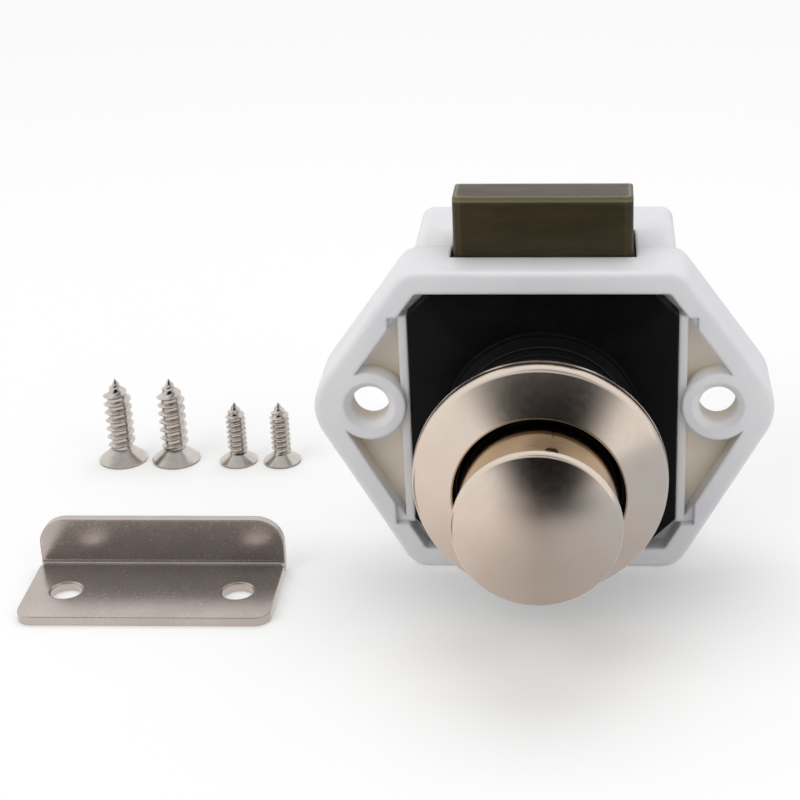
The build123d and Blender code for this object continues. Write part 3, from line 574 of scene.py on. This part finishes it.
def coil_spring():
    """Compression spring with closed end turns, wound up its axis and then laid over by Turn."""
    recipe = Recipe("coil_spring", Place=(0.0, 0.0, 0.0), Turn=(0.0, 0.0, 0.0),
                    Coil_Radius=3.0 * MM, Wire_Radius=0.4 * MM, Length=30.0 * MM, Turns=12.0,
                    Points=360, Wire_Sides=10)
    size = recipe.size
    line = recipe.node("GeometryNodeMeshLine", {"mode": "OFFSET"}, Count=size("Points"),
                       Offset=(0.0, 0.0, MM))
    thread = recipe.node("GeometryNodeMeshToCurve", Mesh=line)
    share = recipe.index() / (size("Points") - 1.0)
    angle = share * size("Turns") * (2 * pi)
    radius, wire = size("Coil_Radius"), size("Wire_Radius")
    end_turn = 1.0 / size("Turns")
    closed = share.along(0.0, end_turn) + share.along(1.0 - end_turn, 1.0)
    rise = (wire + wire * 2.0 * closed
            + (size("Length") - wire * 6.0) * share.along(end_turn, 1.0 - end_turn))
    helix = recipe.node("GeometryNodeSetPosition", Geometry=thread,
                        Position=recipe.point(radius * angle.cosine(), radius * angle.sine(), rise))
    section = recipe.node("GeometryNodeCurvePrimitiveCircle", Resolution=size("Wire_Sides"),
                          Radius=wire)
    recipe.close(recipe.node("GeometryNodeCurveToMesh", Curve=helix, Profile_Curve=section,
                             Fill_Caps=True), recipe.source.outputs["Turn"])
    return recipe


def knurled_band():
    """Ring of fine straight teeth round the -Y axis."""
    recipe = Recipe("knurled_band", Place=(0.0, 0.0, 0.0), Inner_Radius=14.2 * MM,
                    Root_Radius=14.6 * MM, Crest_Radius=15.0 * MM, Width=0.4 * MM, Teeth=110)
    size = recipe.size
    outward, inward, forward, back = (0.0, 0.29), (0.57, 0.85), (0.25, 0.6), (0.86, 1.0)
    grid, across, over = recipe.sheet(columns=size("Teeth") * 4.0, rows=7)
    inner, root = size("Inner_Radius"), size("Root_Radius")
    tooth = abs((across * size("Teeth")).fraction() - 0.5) * 2.0
    outer = root + (size("Crest_Radius") - root) * tooth
    radius = inner + (outer - inner) * (over.along(*outward) - over.along(*inward))
    height = size("Width") * (over.along(*forward) - over.along(*back))
    recipe.close(recipe.turned(grid, across, radius, height), ONTO_MINUS_Y)
    return recipe


def domed_cap():
    """Shallow dome that breaks into a rounded edge band, and the plug that fills the neck.

    The plug has the screw's bore and the hole for the small pin.
    """
    recipe = Recipe("domed_cap", Place=(0.0, 0.0, 0.0), Top_Lean=0.0, Dome_Radius=21.74 * MM,
                    Edge_Lean=0.4488, Break_Round=0.25 * MM, Band_Lean=0.9, Band_Round=1.48 * MM,
                    Side_Lean=pi / 2, Outer_Radius=9.85 * MM, Plug_Radius=8.8 * MM,
                    Plug_Length=2.2 * MM, Bore_Radius=1.6 * MM, Bore_Depth=3.2 * MM,
                    Pin_Radius=0.75 * MM, Pin_Foot=6.45 * MM, Pin_Reach=2.8 * MM,
                    Pin_Drop=4.0 * MM, Pin_Lean=0.19, Pin_Sides=24)
    size = recipe.size
    dome_rows, break_rows, band_rows = (0.0, 0.45), (0.45, 0.52), (0.52, 0.7)
    shoulder, plug_side, plug_end = (0.74, 0.8), (0.8, 0.86), (0.86, 0.9)
    bore_side, bore_end = (0.9, 0.96), (0.96, 1.0)
    grid, across, over = recipe.sheet(columns=128, rows=200)
    dome = recipe.arc(over.along(*dome_rows), size("Dome_Radius"), size("Top_Lean"),
                      size("Edge_Lean"))
    edge = recipe.arc(over.along(*break_rows), size("Break_Round"), size("Edge_Lean"),
                      size("Band_Lean"))
    band = recipe.arc(over.along(*band_rows), size("Band_Round"), size("Band_Lean"),
                      size("Side_Lean"))
    plug, bore = size("Plug_Radius"), size("Bore_Radius")
    radius = (dome[0] + edge[0] + band[0] - (size("Outer_Radius") - plug) * over.along(*shoulder)
              - (plug - bore) * over.along(*plug_end) - bore * over.along(*bore_end)).at_least(0.0)
    drop = (dome[1] + edge[1] + band[1] + size("Plug_Length") * over.along(*plug_side)
            - size("Bore_Depth") * over.along(*bore_side))
    lean, middle = size("Pin_Lean"), size("Pin_Foot") + size("Pin_Reach") / 2.0
    rod = recipe.node("GeometryNodeMeshCylinder", Vertices=size("Pin_Sides"),
                      Radius=size("Pin_Radius"), Depth=size("Pin_Reach"))
    pin = recipe.node("GeometryNodeTransform", Geometry=rod,
                      Rotation=recipe.point(pi / 2, 0.0, lean),
                      Translation=recipe.point(middle * lean.sine(), -(middle * lean.cosine()),
                                               size("Pin_Drop")))
    recipe.close(recipe.cut(recipe.turned(grid, across, radius, drop), pin), ONTO_PLUS_Y)
    return recipe


def dished_cover():
    """Pressed rosette cover: rolled opening, cone-like face, rounded edge band, hollow back."""
    recipe = Recipe("dished_cover", Place=(0.0, 0.0, 0.0), Opening=10.13 * MM, Roll_Lean=-1.2,
                    Roll_Round=0.25 * MM, Roll_Depth=0.16 * MM, Face_Lean=0.5317,
                    Face_Radius=40.5 * MM, Edge_Lean=0.6594, Break_Round=0.3 * MM, Band_Lean=0.85,
                    Band_Round=1.75 * MM, Side_Lean=pi / 2, Depth=4.3 * MM, Lip=1.0 * MM,
                    Inner_Radius=14.5 * MM)
    size = recipe.size
    roll_rows, face_rows = (0.0, 0.08), (0.08, 0.45)
    break_rows, band_rows = (0.45, 0.51), (0.51, 0.7)
    side, rim, hollow, lip = (0.7, 0.78), (0.78, 0.84), (0.84, 0.94), (0.94, 1.0)
    grid, across, over = recipe.sheet(columns=160, rows=240)
    roll = recipe.arc(over.along(*roll_rows), size("Roll_Round"), size("Roll_Lean"),
                      size("Face_Lean"))
    face = recipe.arc(over.along(*face_rows), size("Face_Radius"), size("Face_Lean"),
                      size("Edge_Lean"))
    edge = recipe.arc(over.along(*break_rows), size("Break_Round"), size("Edge_Lean"),
                      size("Band_Lean"))
    band = recipe.arc(over.along(*band_rows), size("Band_Round"), size("Band_Lean"),
                      size("Side_Lean"))
    opening, inner, depth = size("Opening"), size("Inner_Radius"), size("Depth")
    front = opening + roll[0] + face[0] + edge[0] + band[0]
    front_drop = size("Roll_Depth") + roll[1] + face[1] + edge[1] + band[1]
    radius = (front - (front - inner) * over.along(*rim)
              - (inner - opening) * over.along(*hollow))
    drop = (front_drop + (depth - front_drop) * over.along(*side)
            - (depth - size("Lip")) * over.along(*hollow)
            - (size("Lip") - size("Roll_Depth")) * over.along(*lip))
    recipe.close(recipe.turned(grid, across, radius, drop), ONTO_PLUS_Y)
    return recipe


def threaded_sleeve():
    """Screw thread cut into a tube along -Y, plain at both ends so that it meets the tube there."""
    recipe = Recipe("threaded_sleeve", Place=(0.0, 0.0, 0.0), Radius=10.95 * MM, Depth=0.5 * MM,
                    Pitch=1.5 * MM, Flank=2.9, Floor=1.15, Length=16.8 * MM, Columns=92)
    size = recipe.size
    run_in, run_out = (0.02, 0.075), (0.0, 0.05)
    grid, across, over = recipe.sheet(columns=size("Columns"), rows=260)
    travel = over * size("Length")
    turn = abs((travel / size("Pitch") - across).fraction() - 0.5)
    groove = (size("Floor") - turn * size("Flank")).at_least(0.0).at_most(1.0)
    fade = over.along(*run_in) * (1.0 - over).along(*run_out)
    radius = size("Radius") - size("Depth") * groove * fade
    recipe.close(recipe.turned(grid, across, radius, travel), ONTO_MINUS_Y)
    return recipe


def stands_for(piece, node, body):
    """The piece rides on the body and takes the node's place."""
    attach(piece, body)
    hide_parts(node)


# Loose screws of the set

LOOSE_SCREWS = {
    "door_screws": {"Head_Radius": 3.498 * MM, "Step": 7.8 * MM},
    "strike_screws": {"Head_Radius": 2.75 * MM, "Head_Height": 1.6 * MM, "Root_Radius": 1.08 * MM,
                      "Crest_Radius": 1.45 * MM, "Pitch": 0.8 * MM, "Length": 9.5 * MM,
                      "Tip_Length": 2.0 * MM, "Cross_Reach": 3.4 * MM, "Cross_Depth": 0.9 * MM,
                      "Step": 6.4 * MM},
}
screw = wood_screw()
for node, sizes in LOOSE_SCREWS.items():
    low, high = corners(node)
    row = screw.make(node + "_threaded", finish_of["bright_nickel"],
                     Place=(low.x + sizes["Head_Radius"], (low.y + high.y) / 2, low.z), **sizes)
    stands_for(row, node, "lock")

# Springs, wound to the length of the pieces they stand for

spring = coil_spring()
low, high = corners("knob_spring")
push_spring = spring.make("knob_spring_wound", finish_of["spring_steel"],
                          Place=(0.0, low.y, 0.0), Turn=ONTO_PLUS_Y, Coil_Radius=3.0 * MM,
                          Wire_Radius=0.38 * MM, Length=high.y - low.y, Turns=13.0, Points=420)
stands_for(push_spring, "knob_spring", "lock")
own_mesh(push_spring)
for side in ("left", "right"):
    low, high = corners("bolt_spring_" + side)
    bolt_spring = spring.make("bolt_spring_" + side + "_wound", finish_of["spring_steel"],
                              Place=((low.x + high.x) / 2, (low.y + high.y) / 2, low.z),
                              Coil_Radius=1.28 * MM, Wire_Radius=0.2 * MM,
                              Length=high.z - low.z, Turns=22.0, Points=560)
    stands_for(bolt_spring, "bolt_spring_" + side, "lock")
    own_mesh(bolt_spring)

# Knob cap, turned, with the hole that its pin needs

low, high = corners("knob_cap")
pin = sum(corners("sleeve_pin"), Vector()) / 2
cap = domed_cap().make("knob_cap_turned", finish_of["satin_nickel"], Place=(0.0, low.y, 0.0),
                       Pin_Drop=pin.y - low.y, Pin_Lean=atan2(pin.x, pin.z))
stands_for(cap, "knob_cap", "button")

# Rosette cover, turned

low, high = corners("rosette_cover")
cover = dished_cover().make("rosette_cover_turned", finish_of["satin_nickel"],
                            Place=(0.0, low.y, 0.0))
stands_for(cover, "rosette_cover", "lock")

# Knurl in the groove between the nut's flange and its cover

FLANGE = 0.5 * MM

low, high = corners("rosette_nut")
knurl = knurled_band().make("nut_knurl", finish_of["satin_nickel"],
                            Place=(0.0, high.y - FLANGE, 0.0))
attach(knurl, "lock")

# Thread on the carrier's tube

TUBE_RADIUS = 10.95 * MM
THREAD_START, THREAD_END = -1.0 * MM, -17.8 * MM
ON_THE_WALL = 0.02 * MM
CAD_WELD, THREAD_WELD = 0.001 * MM, 0.004 * MM
CARRIER_SHARP_ANGLE = radians(30)


def threaded_carrier():
    """The carrier with a real thread in place of the plain wall of its tube."""
    sleeve = threaded_sleeve().make("tube_thread", finish_of["black_plastic"],
                                    Place=(0.0, THREAD_START, 0.0), Radius=TUBE_RADIUS,
                                    Length=THREAD_START - THREAD_END)
    mesh = bmesh.new()
    mesh.from_mesh(nodes["carrier"].data)
    bmesh.ops.remove_doubles(mesh, verts=mesh.verts, dist=CAD_WELD)
    wall = [face for face in mesh.faces
            if all(abs(Vector((v.co.x, v.co.z)).length - TUBE_RADIUS) < ON_THE_WALL
                   for v in face.verts)]
    bmesh.ops.delete(mesh, geom=wall, context="FACES")
    mesh.from_mesh(sleeve.data)
    bmesh.ops.remove_doubles(mesh, verts=mesh.verts, dist=THREAD_WELD)
    whole = bpy.data.meshes.new("carrier_threaded")
    mesh.to_mesh(whole)
    mesh.free()
    bpy.data.objects.remove(sleeve)
    whole.materials.append(finish_of["black_plastic"])
    whole.shade_smooth()
    whole.set_sharp_from_angle(angle=CARRIER_SHARP_ANGLE)
    piece = bpy.data.objects.new("carrier_threaded", whole)
    bpy.context.scene.collection.objects.link(piece)
    stands_for(piece, "carrier", "lock")


threaded_carrier()

# Studio: pale floor, white backdrop from the world, soft lamps. In mirrors the room has soft
# dark patches: side and height are a patch's middle on the sphere of directions, wide and high
# its half widths, and least the brightness left in it.

GROUND = cad_box[0][2]
ROOM_LIGHT = 0.52
DARK_LOW = {"axis": "Z", "side": 0.12, "height": 0.26, "wide": 0.68, "high": 0.6, "least": 0.01}
DARK_HIGH = {"axis": "Z", "side": 0.05, "height": 0.6, "wide": 0.96, "high": 0.48, "least": 0.05}
DARK_ABOVE = {"axis": "Y", "side": 0.15, "height": 0.08, "wide": 0.6, "high": 0.16, "least": 0.22}
PATCH_FADE = (0.4, 1.0)


def dark_patch(tree, direction, axis, side, height, wide, high, least):
    """Brightness round a soft oval patch of the mirrored room: least inside, 1 outside."""
    across = (Amount(tree, direction.outputs["X"]) - side) / wide
    upward = (Amount(tree, direction.outputs[axis]) - height) / high
    fade = add_node(tree, "ShaderNodeMapRange", {"interpolation_type": "SMOOTHSTEP"},
                    From_Min=PATCH_FADE[0], From_Max=PATCH_FADE[1], To_Min=least, To_Max=1.0,
                    Value=(across * across + upward * upward).root())
    return Amount(tree, fade.outputs["Result"])


def studio_world():
    """White behind the object; mirrors see the same white with a dark room end in front."""
    world = bpy.data.worlds.new("studio")
    bpy.context.scene.world = world
    world.use_nodes = True
    tree = world.node_tree
    soft = tree.nodes["Background"]
    soft.inputs["Strength"].default_value = ROOM_LIGHT
    soft.inputs["Color"].default_value = WHITE
    white = add_node(tree, "ShaderNodeBackground", Color=WHITE)
    direction = add_node(tree, "ShaderNodeSeparateXYZ",
                         Vector=tree.nodes.new("ShaderNodeTexCoord").outputs["Generated"])
    in_front = dark_patch(tree, direction, **DARK_LOW) * dark_patch(tree, direction, **DARK_HIGH)
    behind = Amount(tree, direction.outputs["Y"]).above(0.0)
    room = in_front.at_least(behind) * dark_patch(tree, direction, **DARK_ABOVE)
    mirrored = add_node(tree, "ShaderNodeBackground", Color=WHITE, Strength=room)
    path = tree.nodes.new("ShaderNodeLightPath")
    seen = (Amount(tree, path.outputs["Is Camera Ray"])
            .at_least(Amount(tree, path.outputs["Is Transmission Ray"])))
    lit = shader_mix(tree, path.outputs["Is Glossy Ray"], soft.outputs[0], mirrored.outputs[0])
    feed(tree, tree.nodes["World Output"].inputs["Surface"],
         shader_mix(tree, seen, lit, white.outputs[0]))


# The floor: half its side, its white, the glow that the camera sees, and the distances between
# which it fades into the backdrop
FLOOR_REACH = 3.0
FLOOR_WHITE = 0.93
FLOOR_GLOW = 0.17
HORIZON = (0.2, 0.55)

# The table in mirrors: its tones from left to right over its width, and its shade, which starts
# ahead of the object and grows, lies a little off to one side, and ends softly at its edge
TABLE_TONES = ((0.0, (0.97, 0.94, 0.92)), (0.22, (0.86, 0.82, 0.8)), (0.5, (0.5, 0.48, 0.47)),
               (0.78, (0.6, 0.62, 0.65)), (1.0, (0.6, 0.64, 0.68)))
TABLE_WIDTH = 0.11
SHADE_START, SHADE_FADE = 0.076, 0.11
SHADE_SIDE, SHADE_EDGE, SHADE_SOFTNESS = 0.13, 0.64, 0.5
SHADE_NEAREST = 0.05
SHADE_DEPTH = 0.9


def floor_in_view(tree, place, seen):
    """White floor that keeps the shadow and fades into the white backdrop far out."""
    floor = tree.nodes["Principled BSDF"]
    for name, value in {"Base Color": (FLOOR_WHITE, FLOOR_WHITE, FLOOR_WHITE, 1),
                        "Roughness": 0.9, "Specular IOR Level": 0.0, "Emission Color": WHITE,
                        "Emission Strength": seen * FLOOR_GLOW}.items():
        feed(tree, floor.inputs[name], value)
    reached = add_node(tree, "ShaderNodeVectorMath", {"operation": "LENGTH"})
    feed(tree, reached.inputs[0], place)
    far_out = Amount(tree, reached.outputs["Value"]).along(*HORIZON)
    backdrop = add_node(tree, "ShaderNodeEmission", Color=WHITE)
    return shader_mix(tree, far_out * seen, floor.outputs[0], backdrop.outputs[0])


def table_in_mirrors(tree, place):
    """The floor as mirrors see it: a grey table top, darker out in front of the object."""
    split = add_node(tree, "ShaderNodeSeparateXYZ", Vector=place)
    side, ahead = Amount(tree, split.outputs["X"]), -Amount(tree, split.outputs["Y"])
    far = ((ahead - SHADE_START) / SHADE_FADE).at_least(0.0).at_most(1.0)
    off_side = abs(side / ahead.at_least(SHADE_NEAREST) - SHADE_SIDE)
    narrow = ((SHADE_EDGE - off_side) / SHADE_SOFTNESS).at_least(0.0).at_most(1.0)
    table = add_node(tree, "ShaderNodeEmission",
                     Color=colour_ramp(tree, side / TABLE_WIDTH + 0.5, TABLE_TONES),
                     Strength=1.0 - far * narrow * SHADE_DEPTH)
    return table.outputs[0]


def studio_floor():
    """The floor's plane, white to the camera and a grey table top to mirrors."""
    mesh = bpy.data.meshes.new("floor")
    mesh.from_pydata([(x * FLOOR_REACH, y * FLOOR_REACH, GROUND)
                      for x, y in ((-1, -1), (1, -1), (1, 1), (-1, 1))], [], [(0, 1, 2, 3)])
    floor = bpy.data.objects.new("floor", mesh)
    bpy.context.scene.collection.objects.link(floor)
    material = bpy.data.materials.new("floor_white")
    material.use_nodes = True
    tree = material.node_tree
    path = tree.nodes.new("ShaderNodeLightPath")
    place = tree.nodes.new("ShaderNodeTexCoord").outputs["Object"]
    in_view = floor_in_view(tree, place, Amount(tree, path.outputs["Is Camera Ray"]))
    feed(tree, tree.nodes["Material Output"].inputs["Surface"],
         shader_mix(tree, path.outputs["Is Glossy Ray"], in_view, table_in_mirrors(tree, place)))
    mesh.materials.append(material)


LAMPS = {
    "key_left": {"place": (-0.42, -0.3, 0.36), "size": (0.5, 0.5), "power": 0.9},
    "fill_right": {"place": (0.45, -0.26, 0.26), "size": (0.5, 0.5), "power": 0.53},
    "top_soft": {"place": (0.0, 0.2, 0.6), "size": (0.5, 0.4), "power": 1.1},
}


def lamp(name, place, size, power):
    """Soft lamp aimed at the lock; mirrors don't show it."""
    light = bpy.data.lights.new(name, "AREA")
    light.shape = "RECTANGLE"
    light.size, light.size_y = size
    light.energy = power
    holder = bpy.data.objects.new(name, light)
    holder.location = place
    holder.rotation_euler = (-Vector(place)).to_track_quat("-Z", "Y").to_euler()
    holder.visible_glossy = False
    bpy.context.scene.collection.objects.link(holder)


studio_world()
studio_floor()
for name, settings in LAMPS.items():
    lamp(name, **settings)

# Camera at the photograph's viewing angle, as fitted to its edges and rings. The focal length
# is in pixels over the photo's width, and the picture is WIDER so that the set keeps clear of
# its edges; the shares say where in it the lock's axis is.

AZIMUTH = radians(1.912)
ELEVATION = radians(24.739)
ROLL = radians(-0.747)
CAMERA_RIGHT = 0.215 * MM
CAMERA_UP = -3.034 * MM
DISTANCE = 239.001 * MM
FOCAL_SHARE = 2233.993 / 800
WIDER = 0.846
LOCK_X_SHARE = 0.6775
LOCK_Y_SHARE = 0.5
SENSOR_WIDTH = 36.0
CLIP = (0.01, 20.0)


def photo_camera():
    """Camera that sees the lock as the photograph does."""
    back = Vector((sin(AZIMUTH) * cos(ELEVATION), -cos(AZIMUTH) * cos(ELEVATION), sin(ELEVATION)))
    level = Vector((cos(AZIMUTH), sin(AZIMUTH), 0))
    upright = back.cross(level)
    right = cos(ROLL) * level + sin(ROLL) * upright
    up = -sin(ROLL) * level + cos(ROLL) * upright
    data = bpy.data.cameras.new("photo_camera")
    data.sensor_width = SENSOR_WIDTH
    data.lens = SENSOR_WIDTH * FOCAL_SHARE * WIDER
    data.clip_start, data.clip_end = CLIP
    data.shift_x = 0.5 - LOCK_X_SHARE
    data.shift_y = LOCK_Y_SHARE - 0.5
    holder = bpy.data.objects.new("photo_camera", data)
    place = -CAMERA_RIGHT * right - CAMERA_UP * up + DISTANCE * back
    turn = Matrix((right, up, back)).transposed().to_4x4()
    holder.matrix_world = Matrix.Translation(place) @ turn
    bpy.context.scene.collection.objects.link(holder)
    bpy.context.scene.camera = holder


photo_camera()
bpy.context.scene.view_settings.view_transform = "Standard"
